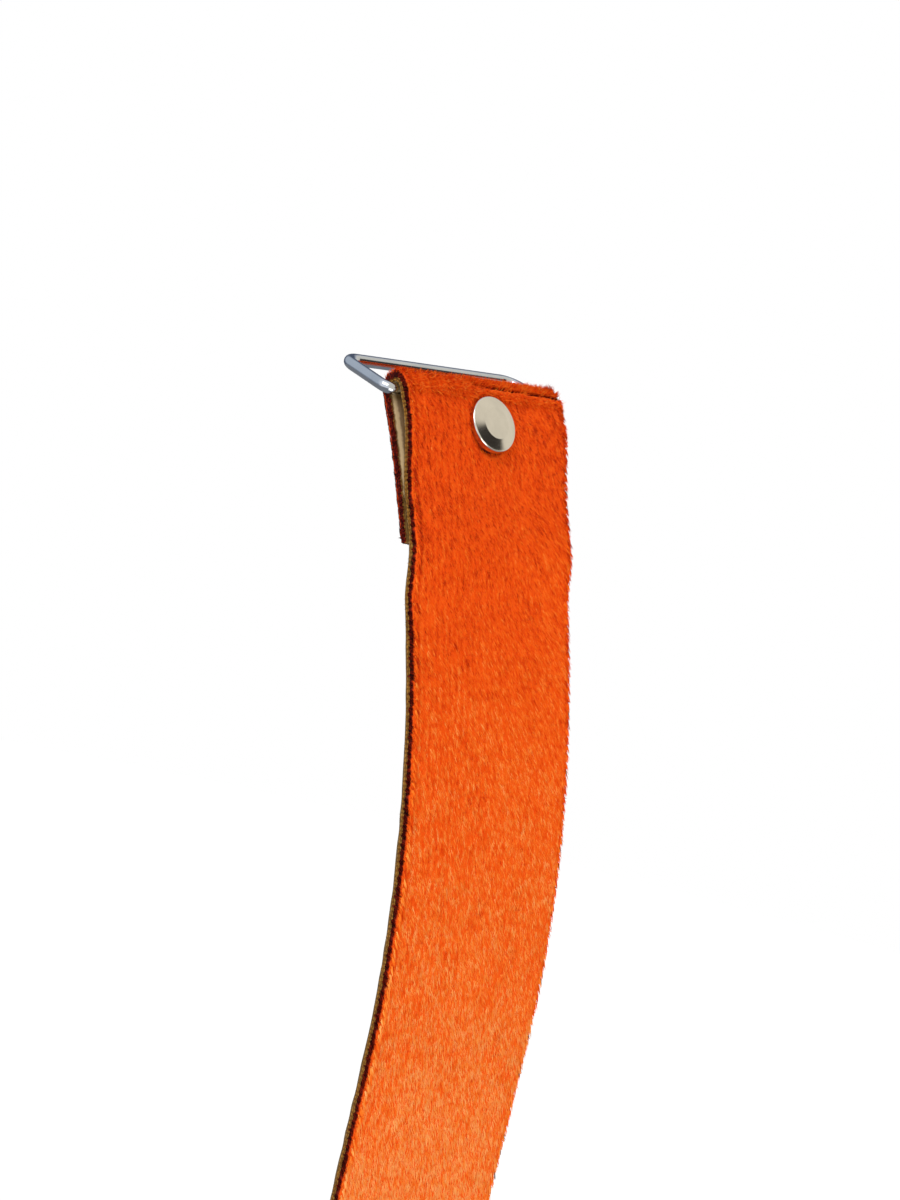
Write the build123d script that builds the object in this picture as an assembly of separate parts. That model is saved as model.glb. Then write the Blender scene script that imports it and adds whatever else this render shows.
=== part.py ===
"""A climbing skin for a narrow touring ski, in the shape it has when it is mounted.

+Z runs up the ski towards its tip, +X across it, and the ski base lies at Y = 0 with
the ski on its +Y side. The strip is straight below the origin and follows the shovel,
which bends towards +Y, above it. At the tip it is folded back round a wire ring.
Sections are drawn as (Y, Z) pairs and extruded across X. A place on the strip is given
as (s, n): s is the length up the ski base from the origin, n the height off that base.
"""

from build123d import *
import math
import os

os.makedirs("parts", exist_ok=True)

# Strip
STRIP_WIDTH = 45.0
GLUE = 0.3
MEMBRANE = 0.3
WEAVE = 0.8
PILE = 2.0
RUN_LENGTH = 1380.0
SHOVEL_RADIUS = 245.0
SHOVEL_SPANS = 8

# Fold at the tip
FOLD_TOP = 140.0
FOLD_BACK_LENGTH = 35.0
PRESSED_PILE_AT_ROD = 1.2
PRESSED_PILE_AT_END = 0.9
LIFT_AT_FOLD_END = 2.1
PEEL_LENGTH = 12.0
FOLD_GLUE_LENGTH = 9.0
FLARE_LENGTH = 17.5
BASE_CLEARANCE = 0.05

# Tip ring
WIRE_RADIUS = 1.25
ROD_CLEARANCE = 0.08
RING_INNER_WIDTH = 46.5
RING_DEPTH = 15.0
RING_LEAN = 79.0
RING_NEAR_BEND = 2.0
RING_FAR_BEND = 3.5

# Tip rivet
RIVET_BELOW_TOP = 10.7
CAP_RADIUS = 6.0
CAP_FLAT_RADIUS = 3.4
CAP_SHOULDER_DROP = 0.5
CAP_RIM_ROUND = 0.45
CAP_SHEET = 0.35
FRONT_CAP_HEIGHT = 1.9
FRONT_CAP_PROUD = 1.1
BACK_CAP_HEIGHT = 0.9
BACK_CAP_RIM_ROUND = 0.85
SOCKET_RADIUS = 1.9
SOCKET_BORE = 1.3
FLANGE_RADIUS = 4.6
FLANGE_SHEET = 0.3
POST_RADIUS = 1.28
HOLE_CLEARANCE = 0.1

# Tail clamp
PLATE = 1.0
BACKING_PLATE = GLUE + MEMBRANE
BACKING_PLATE_ROUND = 2.0
CLAMP_LENGTH = 20.0
CLAMPED_PILE = 0.8
PLATE_OVERHANG = 2.0
PLATE_TAPER = 12.0
NECK_WIDTH = 26.0
NECK_LENGTH = 48.0
TAIL_RIVET_PLACES = (12.5, 18.5)
TAIL_RIVET_RADIUS = 1.4
TAIL_RIVET_HEAD = 2.5
TAIL_RIVET_HEAD_HEIGHT = 0.9
TAIL_RIVET_HEAD_ROUND = 0.72

# Cam buckle
CAM_BELOW_FABRIC = 36.0
CAM_PIN_RADIUS = 1.5
PIN_CLEARANCE = 0.05
CAM_RADIUS = 3.4
CAM_LOBE = 4.3
CAM_TOOTH_WIDTH = 1.0
CAM_TOOTH_ANGLES = (-40, -20, 0, 20)
CAM_WIDTH = 21.0
CAM_GAP = 0.2
LEVER_LENGTH = 30.0
LEVER_THICKNESS = 2.0
LEVER_TIP_WIDTH = 15.0
EAR_HALF_LENGTH = 7.0
EAR_ROUND = 4.2
CLIP_RADIUS = 2.8
CLIP_SHEET = 0.6

# Strap
STRAP_WIDTH = 18.0
STRAP_THICKNESS = 2.0
STRAP_RIB = 0.6
STRAP_RIB_PITCH = 5.0
STRAP_RIB_LENGTH = 2.6
RIB_WIDTH = 16.0
STRAP_HEIGHT = 3.8
STRAP_ABOVE_FABRIC_END = 44.0
STRAP_END_ROUND = 6.0
EYE_RADIUS = 3.2
EYE_TO_PLATE = 1.5

# Tail hook
HOOK_BELOW_PLATE = 34.0
HOOK_SHEET = 1.6
HOOK_WIDTH = 23.0
HOOK_PIN_RADIUS = 1.5
HOOK_PIN_LENGTH = 24.0
HOOK_CHEEK_ROUND = 3.4
HOOK_DROP = 17.0
HOOK_REACH = 12.0
HOOK_LIP = 9.0
HOOK_BEND = 2.5

STRIP = GLUE + MEMBRANE + WEAVE + PILE
CORE = MEMBRANE + WEAVE
ROD_BORE = WIRE_RADIUS + ROD_CLEARANCE
ROD_TO_TOP = ROD_BORE + CORE + (PILE + PRESSED_PILE_AT_ROD) / 2
ROD_S = FOLD_TOP - ROD_TO_TOP
ROD_N = BASE_CLEARANCE + PRESSED_PILE_AT_ROD + CORE + ROD_BORE
FOLD_END_S = ROD_S - (FOLD_BACK_LENGTH - ROD_TO_TOP)
PEEL_S = FOLD_END_S - PEEL_LENGTH
RIVET_S = FOLD_TOP - RIVET_BELOW_TOP
LIFT_AT_ROD = ROD_N + ROD_BORE - GLUE
FOLD_DEPTH = LIFT_AT_ROD + STRIP
FABRIC_END = -RUN_LENGTH
CLAMP_TOP = FABRIC_END + CLAMP_LENGTH
PLATE_FACE = GLUE + MEMBRANE + WEAVE + CLAMPED_PILE
NECK_TOP = FABRIC_END - PLATE_OVERHANG - PLATE_TAPER
NECK_END = NECK_TOP - NECK_LENGTH
CAM_Z = FABRIC_END - CAM_BELOW_FABRIC
STRAP_FACE = STRAP_HEIGHT + STRAP_THICKNESS + STRAP_RIB
CAM_Y = -(STRAP_FACE + CAM_GAP + CAM_LOBE)
HOOK_Z = NECK_END - HOOK_BELOW_PLATE
HOOK_Y = -(STRAP_HEIGHT + STRAP_THICKNESS / 2)
EAR_INSIDE = NECK_WIDTH / 2 - PLATE
THROUGH = 40.0


def base_point(s, n):
    """The (Y, Z) place at length s up the ski base and height n off it."""
    turn = max(s, 0.0) / SHOVEL_RADIUS
    y = SHOVEL_RADIUS * (1 - math.cos(turn)) - n * math.cos(turn)
    z = min(s, 0.0) + (SHOVEL_RADIUS + n) * math.sin(turn)
    return (y, z)


def tip_direction(s):
    """The (Y, Z) direction along the ski base towards the tip."""
    turn = max(s, 0.0) / SHOVEL_RADIUS
    return (math.sin(turn), math.cos(turn))


def ease(t):
    """0 to 1 with level ends."""
    t = min(max(t, 0.0), 1.0)
    return t * t * (3 - 2 * t)


def blend(low, high, t):
    return low + (high - low) * ease(t)


def front_lift(s):
    """How far the front of the fold stands off the ski base."""
    over_fold_back = LIFT_AT_FOLD_END * ease((s - PEEL_S) / PEEL_LENGTH)
    glue_end = FOLD_END_S + FOLD_GLUE_LENGTH
    over_ring = (LIFT_AT_ROD - LIFT_AT_FOLD_END) * ease((s - glue_end) / FLARE_LENGTH)
    return over_fold_back + over_ring


def pressed_pile(s):
    """The pile between the fold-back and the ski base, pressed flat towards its end."""
    return blend(PRESSED_PILE_AT_END, PRESSED_PILE_AT_ROD, (s - FOLD_END_S) / (ROD_S - FOLD_END_S))


def stations(low, high, count):
    return [low + (high - low) * i / (count - 1) for i in range(count)]


def around_rod(angle, radius):
    """A point at this radius round the ring's rod: 0 degrees is the front, 90 the tip side."""
    centre_y, centre_z = base_point(ROD_S, ROD_N)
    along_y, along_z = tip_direction(ROD_S)
    c = math.cos(math.radians(angle))
    s = math.sin(math.radians(angle))
    return (centre_y + radius * (s * along_y - c * along_z), centre_z + radius * (s * along_z + c * along_y))


def lying_edges(n, low):
    """A layer boundary where the strip lies on the ski: the flat run, then the shovel in short arcs."""
    edges = [Line(base_point(low, n), base_point(0, n))]
    span = PEEL_S / SHOVEL_SPANS
    for i in range(SHOVEL_SPANS):
        edges.append(ThreePointArc(*[base_point((i + share) * span, n) for share in (0, 0.5, 1)]))
    return edges


def front_edges(n, low):
    """A layer boundary from the tail, up the run and the shovel, to the front of the rod."""
    return lying_edges(n, low) + [lifted_line(n, PEEL_S)]


def lifted_line(n, low):
    """The same boundary where it stands off the ski base, from s = low to the rod."""
    points = [base_point(s, n + front_lift(s)) for s in stations(low, ROD_S, 9)]
    slope = (front_lift(low + 0.01) - front_lift(low)) / 0.01
    along_y, along_z = tip_direction(low)
    start = (along_y - slope * along_z, along_z + slope * along_y)
    return Spline(*points, tangents=[start, tip_direction(ROD_S)])


def back_line(depth):
    """A boundary of the fold-back, this deep under its inner face, from the rod to its end."""
    points = []
    for s in stations(ROD_S, FOLD_END_S, 6):
        inner_face = BASE_CLEARANCE + pressed_pile(s) + CORE
        pile_share = max(depth - CORE, 0.0) / PILE
        n = inner_face - min(depth, CORE) - pile_share * pressed_pile(s)
        points.append(base_point(s, n))
    down_rod = tip_direction(ROD_S)
    down_end = tip_direction(FOLD_END_S)
    return Spline(*points, tangents=[(-down_rod[0], -down_rod[1]), (-down_end[0], -down_end[1])])


def wrap_line(depth):
    """A boundary round the rod. The pile's outer face closes in towards the ski."""
    if depth <= CORE:
        radius = ROD_BORE + depth
        return ThreePointArc(around_rod(0, radius), around_rod(90, radius), around_rod(180, radius))
    front = ROD_BORE + CORE + PILE
    back = ROD_BORE + CORE + PRESSED_PILE_AT_ROD
    points = [around_rod(angle, blend(front, back, angle / 180)) for angle in (0, 45, 90, 135, 180)]
    along_y, along_z = tip_direction(ROD_S)
    return Spline(*points, tangents=[(along_y, along_z), (-along_y, -along_z)])


def across(edges):
    """A closed (Y, Z) outline extruded over the strip's width, its short arcs kept apart."""
    face = Plane.YZ * make_face(edges)
    return Pos(-STRIP_WIDTH / 2, 0, 0) * extrude(face, STRIP_WIDTH, dir=(1, 0, 0), clean=False)


def folded_layer(inner, outer, low=FABRIC_END):
    """A layer of the strip between two depths under its membrane face, tail to fold-back end."""
    tail_cap = Line(base_point(low, GLUE + inner), base_point(low, GLUE + outer))
    fold_cap = Line(back_line(inner) @ 1, back_line(outer) @ 1)
    edges = [tail_cap, fold_cap]
    for depth in (inner, outer):
        edges += front_edges(GLUE + depth, low) + [wrap_line(depth), back_line(depth)]
    return across(edges)


def rivet_plane():
    """On the ski base under the tip rivet, Z out of the strip's front."""
    y, z = base_point(RIVET_S, 0)
    along_y, along_z = tip_direction(RIVET_S)
    return Plane(origin=(0, y, z), x_dir=(1, 0, 0), z_dir=(0, -along_z, along_y))


def on_rivet(radius, low, high):
    """A cylinder on the rivet's axis between two heights off the ski base."""
    disc = Cylinder(radius, high - low, align=(Align.CENTER, Align.CENTER, Align.MIN))
    return rivet_plane() * Pos(0, 0, low) * disc


def tail_holes(radius):
    holes = Part()
    for x in TAIL_RIVET_PLACES:
        for side in (-1, 1):
            place = Pos(side * x, 0, FABRIC_END + CLAMP_LENGTH / 2) * Rot(90, 0, 0)
            holes += place * Cylinder(radius, THROUGH)
    return holes


def rivet_hole():
    return on_rivet(SOCKET_RADIUS + HOLE_CLEARANCE, -FOLD_DEPTH, 2 * FOLD_DEPTH)


def front_cap_top():
    return front_lift(RIVET_S) + STRIP + FRONT_CAP_PROUD


def pile():
    """The plush: full height on the run, pressed under the fold, the caps and the tail clamp."""
    body = folded_layer(CORE, CORE + PILE)
    body -= Pos(0, -PLATE_FACE - PILE / 2, FABRIC_END) * Box(2 * STRIP_WIDTH, PILE, 2 * CLAMP_LENGTH)
    front_seat = front_cap_top() - FRONT_CAP_HEIGHT - HOLE_CLEARANCE
    back_seat = BASE_CLEARANCE + BACK_CAP_HEIGHT + HOLE_CLEARANCE
    body -= on_rivet(CAP_RADIUS + HOLE_CLEARANCE, front_seat, front_seat + FOLD_DEPTH)
    body -= on_rivet(CAP_RADIUS + HOLE_CLEARANCE, back_seat - FOLD_DEPTH, back_seat)
    return body - rivet_hole() - tail_holes(TAIL_RIVET_RADIUS + PIN_CLEARANCE)


def woven_backing():
    return folded_layer(MEMBRANE, CORE) - rivet_hole() - tail_holes(TAIL_RIVET_RADIUS + PIN_CLEARANCE)


def membrane():
    return folded_layer(0.0, MEMBRANE, CLAMP_TOP) - rivet_hole()


def glue_layer():
    """The adhesive film on the run and the shovel, up to where the strip leaves the ski."""
    tail_cap = Line(base_point(CLAMP_TOP, 0), base_point(CLAMP_TOP, GLUE))
    tip_cap = Line(base_point(PEEL_S, 0), base_point(PEEL_S, GLUE))
    return across(lying_edges(0, CLAMP_TOP) + lying_edges(GLUE, CLAMP_TOP) + [tail_cap, tip_cap])


def fold_glue():
    """The adhesive that bonds the fold-back to the front, in the narrow end of the wedge."""
    top = FOLD_END_S + FOLD_GLUE_LENGTH
    front_points = []
    back_points = []
    for s in stations(FOLD_END_S, top, 5):
        front_points.append(base_point(s, front_lift(s) + GLUE - BASE_CLEARANCE))
        back_points.append(base_point(s, pressed_pile(s) + CORE + 2 * BASE_CLEARANCE))
    front = Spline(*front_points)
    back = Spline(*back_points)
    return across([front, back, Line(front @ 0, back @ 0), Line(front @ 1, back @ 1)])


def tip_ring():
    """A rectangular ring of round wire, its near side lying in the fold."""
    arm = RING_INNER_WIDTH / 2 + WIRE_RADIUS
    corners = [(-arm, 0), (arm, 0), (arm, RING_DEPTH), (-arm, RING_DEPTH)]
    bends = [RING_NEAR_BEND, RING_FAR_BEND]
    right = FilletPolyline((0, 0), corners[1], corners[2], (0, RING_DEPTH), radius=bends)
    left = FilletPolyline((0, 0), corners[0], corners[3], (0, RING_DEPTH), radius=bends)
    y, z = base_point(ROD_S, ROD_N)
    lean = math.radians(RING_LEAN)
    outward = (0, math.sin(lean), math.cos(lean))
    plane = Plane(origin=(0, y, z), x_dir=(1, 0, 0), z_dir=Vector(1, 0, 0).cross(Vector(*outward)))
    section = Plane.YZ * Circle(WIRE_RADIUS)
    ring = sweep(section, path=Wire(right.edges())) + sweep(section, path=Wire(left.edges()))
    return plane * ring


def cap_outline(radius, top, rim, flat_radius, drop):
    """Half of a cap's section: a flat face, a shoulder falling by drop, and a rounded rim."""
    shoulder = top - drop
    edges = [
        Line((0, 0), (radius, 0)),
        Line((radius, 0), (radius, shoulder - rim)),
        RadiusArc((radius, shoulder - rim), (radius - rim, shoulder), -rim),
        Line((flat_radius, top), (0, top)),
        Line((0, top), (0, 0)),
    ]
    if drop > 0:
        edges.append(Line((radius - rim, shoulder), (flat_radius, top)))
    return make_face(edges)


def rivet_front_cap():
    """A cap pressed from sheet, hollow behind, with a flat face inside a sloping shoulder."""
    outside = cap_outline(CAP_RADIUS, FRONT_CAP_HEIGHT, CAP_RIM_ROUND, CAP_FLAT_RADIUS, CAP_SHOULDER_DROP)
    inner_radius = CAP_RADIUS - CAP_SHEET
    inner_top = FRONT_CAP_HEIGHT - CAP_SHEET
    inside = cap_outline(inner_radius, inner_top, CAP_RIM_ROUND / 2, CAP_FLAT_RADIUS, CAP_SHOULDER_DROP)
    seat = Pos(0, 0, front_cap_top() - FRONT_CAP_HEIGHT)
    return rivet_plane() * seat * revolve(Plane.XZ * (outside - inside), Axis.Z)


def rivet_socket():
    """The tube under the front cap, with the flange that the cap is crimped to."""
    seat = front_cap_top() - FRONT_CAP_HEIGHT
    low = BASE_CLEARANCE + BACK_CAP_HEIGHT + FLANGE_SHEET
    tube = on_rivet(SOCKET_RADIUS, low, seat + FLANGE_SHEET)
    flange = on_rivet(FLANGE_RADIUS, seat, seat + FLANGE_SHEET)
    return tube + flange - on_rivet(SOCKET_BORE, 0, FOLD_DEPTH)


def rivet_post():
    """The post from the back cap, pressed into the socket."""
    flange_low = BASE_CLEARANCE + CAP_SHEET
    top = front_cap_top() - FRONT_CAP_HEIGHT
    flange = on_rivet(FLANGE_RADIUS, flange_low, flange_low + FLANGE_SHEET)
    return on_rivet(POST_RADIUS, flange_low, top) + flange


def rivet_back_cap():
    """A low cap on the ski side, flat but for its rounded rim."""
    rim = BACK_CAP_RIM_ROUND
    outside = cap_outline(CAP_RADIUS, BACK_CAP_HEIGHT, rim, CAP_RADIUS - rim, 0)
    inner_radius = CAP_RADIUS - CAP_SHEET
    inner_top = BACK_CAP_HEIGHT - CAP_SHEET
    inside = cap_outline(inner_radius, inner_top, inner_top / 2, inner_radius - inner_top / 2, 0)
    cap = revolve(Plane.XZ * (outside - inside), Axis.Z)
    return rivet_plane() * Pos(0, 0, BASE_CLEARANCE + BACK_CAP_HEIGHT) * Rot(180, 0, 0) * cap


def plate_outline():
    """The long tail plate seen from the front, as (X, Z)."""
    half = STRIP_WIDTH / 2
    neck = NECK_WIDTH / 2
    shoulder = FABRIC_END - PLATE_OVERHANG
    right = [(half, CLAMP_TOP), (half, shoulder), (neck, NECK_TOP), (neck, NECK_END)]
    left = [(-x, z) for x, z in reversed(right)]
    outline = Polyline(*right, *left, close=True)
    return make_face(outline.edges())


def tail_plate():
    """The stamped plate on the pile side, with two ears turned up to hold the cam pin."""
    flat = extrude(Plane.XZ * plate_outline(), PLATE)
    body = Pos(0, -PLATE_FACE, 0) * flat
    ear_profile = Pos(CAM_Y, CAM_Z) * Circle(EAR_ROUND)
    foot = -(PLATE_FACE + PLATE)
    ear_profile += Pos((CAM_Y + foot) / 2, CAM_Z) * Rectangle(foot - CAM_Y, 2 * EAR_ROUND)
    ear_profile += Pos(foot + PLATE / 2, CAM_Z) * Rectangle(PLATE, 2 * EAR_HALF_LENGTH)
    ear = extrude(Plane.YZ * ear_profile, PLATE)
    body += Pos(EAR_INSIDE, 0, 0) * ear
    body += Pos(-EAR_INSIDE - PLATE, 0, 0) * ear
    body -= across_pin(CAM_PIN_RADIUS + PIN_CLEARANCE / 2, NECK_WIDTH * 2, CAM_Y, CAM_Z)
    return body - tail_holes(TAIL_RIVET_RADIUS + PIN_CLEARANCE)


def tail_backing_plate():
    plate = Box(STRIP_WIDTH, BACKING_PLATE, CLAMP_LENGTH, align=(Align.CENTER, Align.MAX, Align.MIN))
    plate = fillet(plate.edges().filter_by(Axis.Y), BACKING_PLATE_ROUND)
    return Pos(0, 0, FABRIC_END) * plate - tail_holes(TAIL_RIVET_RADIUS + PIN_CLEARANCE)


def tail_rivets():
    """Four rivets through the clamp, domed on the pile side and flush on the ski side."""
    top = PLATE_FACE + PLATE
    shank = Cylinder(TAIL_RIVET_RADIUS, top, align=(Align.CENTER, Align.CENTER, Align.MIN))
    head = Cylinder(TAIL_RIVET_HEAD, TAIL_RIVET_HEAD_HEIGHT, align=(Align.CENTER, Align.CENTER, Align.MIN))
    head = fillet(head.edges().sort_by(Axis.Z)[-1], TAIL_RIVET_HEAD_ROUND)
    rivet = shank + Pos(0, 0, top) * head
    placed = []
    for x in TAIL_RIVET_PLACES:
        for side in (-1, 1):
            placed.append(Pos(side * x, 0, FABRIC_END + CLAMP_LENGTH / 2) * Rot(90, 0, 0) * rivet)
    return Compound(placed)


def across_pin(radius, length, y, z):
    return Pos(0, y, z) * Rot(0, 90, 0) * Cylinder(radius, length)


def cam_pin():
    """A headed pin through the ears."""
    head_height = 2 * CLIP_SHEET
    half = NECK_WIDTH / 2 + head_height
    head = Cylinder(CLIP_RADIUS, head_height, align=(Align.CENTER, Align.CENTER, Align.MIN))
    shank = across_pin(CAM_PIN_RADIUS, 2 * half, CAM_Y, CAM_Z)
    return shank + Pos(NECK_WIDTH / 2 + PIN_CLEARANCE, CAM_Y, CAM_Z) * Rot(0, 90, 0) * head


def cam_pin_clip():
    """The spring washer that holds the pin's plain end."""
    washer = Cylinder(CLIP_RADIUS, CLIP_SHEET) - Cylinder(CAM_PIN_RADIUS, CLIP_SHEET * 2)
    washer -= Pos(0, CLIP_RADIUS, 0) * Box(CAM_PIN_RADIUS, CLIP_RADIUS * 2, CLIP_SHEET * 2)
    x = -(NECK_WIDTH / 2 + HOLE_CLEARANCE + CLIP_SHEET / 2)
    return Pos(x, CAM_Y, CAM_Z) * Rot(0, 90, 0) * washer


def cam_lever():
    """A toothed cam that bites on the strap, with a lever that lies over the plate."""
    drum = Circle(CAM_RADIUS)
    for angle in CAM_TOOTH_ANGLES:
        lobe = Rectangle(CAM_LOBE, CAM_TOOTH_WIDTH, align=(Align.MIN, Align.CENTER))
        drum += Rot(0, 0, angle) * lobe
    arm = Pos(-CAM_RADIUS + LEVER_THICKNESS / 2, LEVER_LENGTH / 2) * Rectangle(LEVER_THICKNESS, LEVER_LENGTH)
    arm += Pos(-CAM_RADIUS + LEVER_THICKNESS / 2, LEVER_LENGTH) * Circle(LEVER_THICKNESS / 2)
    profile = Pos(CAM_Y, CAM_Z) * (drum + arm)
    body = extrude(Plane.YZ * profile, CAM_WIDTH / 2, both=True)
    side = (CAM_WIDTH - LEVER_TIP_WIDTH) / 2
    for sign in (-1, 1):
        corner = Box(side * 2, 4 * CAM_LOBE, LEVER_LENGTH)
        body -= Pos(sign * CAM_WIDTH / 2, CAM_Y, CAM_Z + LEVER_LENGTH) * corner
    return body - across_pin(CAM_PIN_RADIUS + PIN_CLEARANCE, CAM_WIDTH * 2, CAM_Y, CAM_Z)


def ladder_strap():
    """The rubber strap: cross ribs for the cam, an eye for the hook pin, a rounded free end."""
    top = FABRIC_END + STRAP_ABOVE_FABRIC_END
    length = top - HOOK_Z
    flat = Pos(0, 0, HOOK_Z) * Box(
        STRAP_WIDTH, STRAP_THICKNESS, length, align=(Align.CENTER, Align.CENTER, Align.MIN)
    )
    corners = flat.edges().filter_by(Axis.Y).sort_by(Axis.Z)[-2:]
    flat = fillet(corners, STRAP_END_ROUND)
    body = Pos(0, HOOK_Y, 0) * flat
    rib_space = length - 2 * EYE_RADIUS - STRAP_END_ROUND
    for i in range(int(rib_space / STRAP_RIB_PITCH)):
        z = HOOK_Z + 2 * EYE_RADIUS + i * STRAP_RIB_PITCH
        rib = Box(RIB_WIDTH, STRAP_RIB, STRAP_RIB_LENGTH, align=(Align.CENTER, Align.MAX, Align.MIN))
        body += Pos(0, HOOK_Y - STRAP_THICKNESS / 2, z) * rib
    body += across_pin(EYE_RADIUS, STRAP_WIDTH, HOOK_Y, HOOK_Z)
    return body - across_pin(HOOK_PIN_RADIUS + PIN_CLEARANCE, STRAP_WIDTH * 2, HOOK_Y, HOOK_Z)


def hook_pin():
    return across_pin(HOOK_PIN_RADIUS, HOOK_PIN_LENGTH, HOOK_Y, HOOK_Z)


def tail_hook():
    """A stamped hook: two cheeks on the pin and a bent plate that goes round the ski's tail."""
    low = HOOK_Z - HOOK_DROP
    back = HOOK_REACH + HOOK_SHEET / 2
    high = HOOK_Z - EYE_RADIUS - EYE_TO_PLATE
    route = [(HOOK_Y, high), (HOOK_Y, low), (back, low), (back, low + HOOK_LIP)]
    centre = FilletPolyline(*route, radius=HOOK_BEND + HOOK_SHEET / 2)
    profile = trace(centre, HOOK_SHEET)
    body = extrude(Plane.YZ * profile, HOOK_WIDTH / 2, both=True)
    cheek_profile = Pos(HOOK_Y, HOOK_Z) * Circle(HOOK_CHEEK_ROUND)
    cheek_low = HOOK_Z - HOOK_DROP / 2
    height = HOOK_Z - cheek_low
    cheek_profile += Pos(HOOK_Y, (HOOK_Z + cheek_low) / 2) * Rectangle(2 * HOOK_CHEEK_ROUND, height)
    cheek = extrude(Plane.YZ * cheek_profile, HOOK_SHEET)
    body += Pos(HOOK_WIDTH / 2 - HOOK_SHEET, 0, 0) * cheek
    body += Pos(-HOOK_WIDTH / 2, 0, 0) * cheek
    return body - across_pin(HOOK_PIN_RADIUS, HOOK_WIDTH * 2, HOOK_Y, HOOK_Z)


def main():
    makers = (
        pile,
        woven_backing,
        membrane,
        glue_layer,
        fold_glue,
        tip_ring,
        rivet_front_cap,
        rivet_socket,
        rivet_post,
        rivet_back_cap,
        tail_plate,
        tail_backing_plate,
        tail_rivets,
        cam_pin,
        cam_pin_clip,
        cam_lever,
        ladder_strap,
        hook_pin,
        tail_hook,
    )
    for maker in makers:
        solid = maker()
        export_step(solid, f"parts/{maker.__name__}.step")
        box = solid.bounding_box()
        print(maker.__name__, round(solid.volume, 1), box.min, box.max)


main()
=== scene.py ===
"""The looks of a climbing skin: plush, weave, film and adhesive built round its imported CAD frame.

Sizes are in millimetres, as in the part, and become metres only when a mesh is made. A place on
the fabric is (x, u, depth): x across the strip, u the length along the fabric from its tail end,
and depth measured outwards from the face of the film. The fabric runs up the ski, round the
ring's rod and back down behind itself.
"""

import math

import bpy
import numpy as np
from mathutils import Matrix, Vector


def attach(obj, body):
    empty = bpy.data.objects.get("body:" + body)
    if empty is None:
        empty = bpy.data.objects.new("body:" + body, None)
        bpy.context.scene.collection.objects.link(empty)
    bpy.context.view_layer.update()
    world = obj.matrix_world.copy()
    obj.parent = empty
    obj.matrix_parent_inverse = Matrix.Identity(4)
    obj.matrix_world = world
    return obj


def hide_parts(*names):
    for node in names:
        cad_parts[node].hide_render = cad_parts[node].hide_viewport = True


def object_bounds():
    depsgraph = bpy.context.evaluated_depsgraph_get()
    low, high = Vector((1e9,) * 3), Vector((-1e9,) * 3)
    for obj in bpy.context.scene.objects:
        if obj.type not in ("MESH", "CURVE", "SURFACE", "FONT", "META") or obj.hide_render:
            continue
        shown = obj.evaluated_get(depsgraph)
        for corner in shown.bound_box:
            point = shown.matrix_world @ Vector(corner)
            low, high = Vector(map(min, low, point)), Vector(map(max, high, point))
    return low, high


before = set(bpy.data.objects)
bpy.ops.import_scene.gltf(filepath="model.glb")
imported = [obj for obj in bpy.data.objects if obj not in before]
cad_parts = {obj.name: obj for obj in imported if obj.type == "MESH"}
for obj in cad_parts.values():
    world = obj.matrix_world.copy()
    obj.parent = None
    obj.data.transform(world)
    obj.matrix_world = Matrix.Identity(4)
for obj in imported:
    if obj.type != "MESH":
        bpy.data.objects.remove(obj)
cad_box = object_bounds()

MM = 0.001

# The strip, as in the part
STRIP_WIDTH = 45.0
HALF = STRIP_WIDTH / 2
GLUE = 0.3
MEMBRANE = 0.3
WEAVE = 0.8
PILE = 2.0
CORE = MEMBRANE + WEAVE
RUN_LENGTH = 1380.0
SHOVEL_RADIUS = 245.0
FOLD_TOP = 140.0
FOLD_BACK_LENGTH = 35.0
PRESSED_PILE_AT_ROD = 1.2
PRESSED_PILE_AT_END = 0.9
LIFT_AT_FOLD_END = 2.1
PEEL_LENGTH = 12.0
FOLD_GLUE_LENGTH = 9.0
FLARE_LENGTH = 17.5
BASE_CLEARANCE = 0.05
ROD_BORE = 1.33
RIVET_BELOW_TOP = 10.7
CAP_RADIUS = 6.0
CLAMP_LENGTH = 20.0
CLAMPED_PILE = 0.8

ROD_TO_TOP = ROD_BORE + CORE + (PILE + PRESSED_PILE_AT_ROD) / 2
ROD_S = FOLD_TOP - ROD_TO_TOP
ROD_N = BASE_CLEARANCE + PRESSED_PILE_AT_ROD + CORE + ROD_BORE
FOLD_END_S = ROD_S - (FOLD_BACK_LENGTH - ROD_TO_TOP)
PEEL_S = FOLD_END_S - PEEL_LENGTH
RIVET_S = FOLD_TOP - RIVET_BELOW_TOP
LIFT_AT_ROD = ROD_N + ROD_BORE - GLUE

# Lengths along the fabric from its tail end
CLAMP_U = CLAMP_LENGTH
SHOVEL_U = RUN_LENGTH
RIVET_U = RUN_LENGTH + RIVET_S
WRAP_U = RUN_LENGTH + ROD_S
WRAP_LENGTH = math.pi * (ROD_BORE + CORE / 2)
BACK_U = WRAP_U + WRAP_LENGTH
FABRIC_LENGTH = BACK_U + ROD_S - FOLD_END_S
PEEL_U = RUN_LENGTH + PEEL_S
NEAR_U = RUN_LENGTH - 60.0

# The fabric's make: rows of tufts, weft yarns, and how far up the pile its body and its fibres'
# roots reach, as shares of the pile's depth
TUFT_PITCH = 1.75
TUFT_START = CLAMP_U + 2.0
YARN_PITCH = 0.92
BODY_SHARE = 0.72
ROOT_SHARE = 0.52


# ---------------------------------------------------------------- places on the fabric


def ease(t):
    t = np.clip(t, 0.0, 1.0)
    return t * t * (3 - 2 * t)


def blend(low, high, t):
    return low + (high - low) * ease(t)


def base_point(s, n):
    """(Y, Z) at length s up the ski base and height n off it."""
    turn = np.maximum(s, 0.0) / SHOVEL_RADIUS
    y = SHOVEL_RADIUS * (1 - np.cos(turn)) - n * np.cos(turn)
    z = np.minimum(s, 0.0) + (SHOVEL_RADIUS + n) * np.sin(turn)
    return np.stack([y, z], -1)


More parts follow.
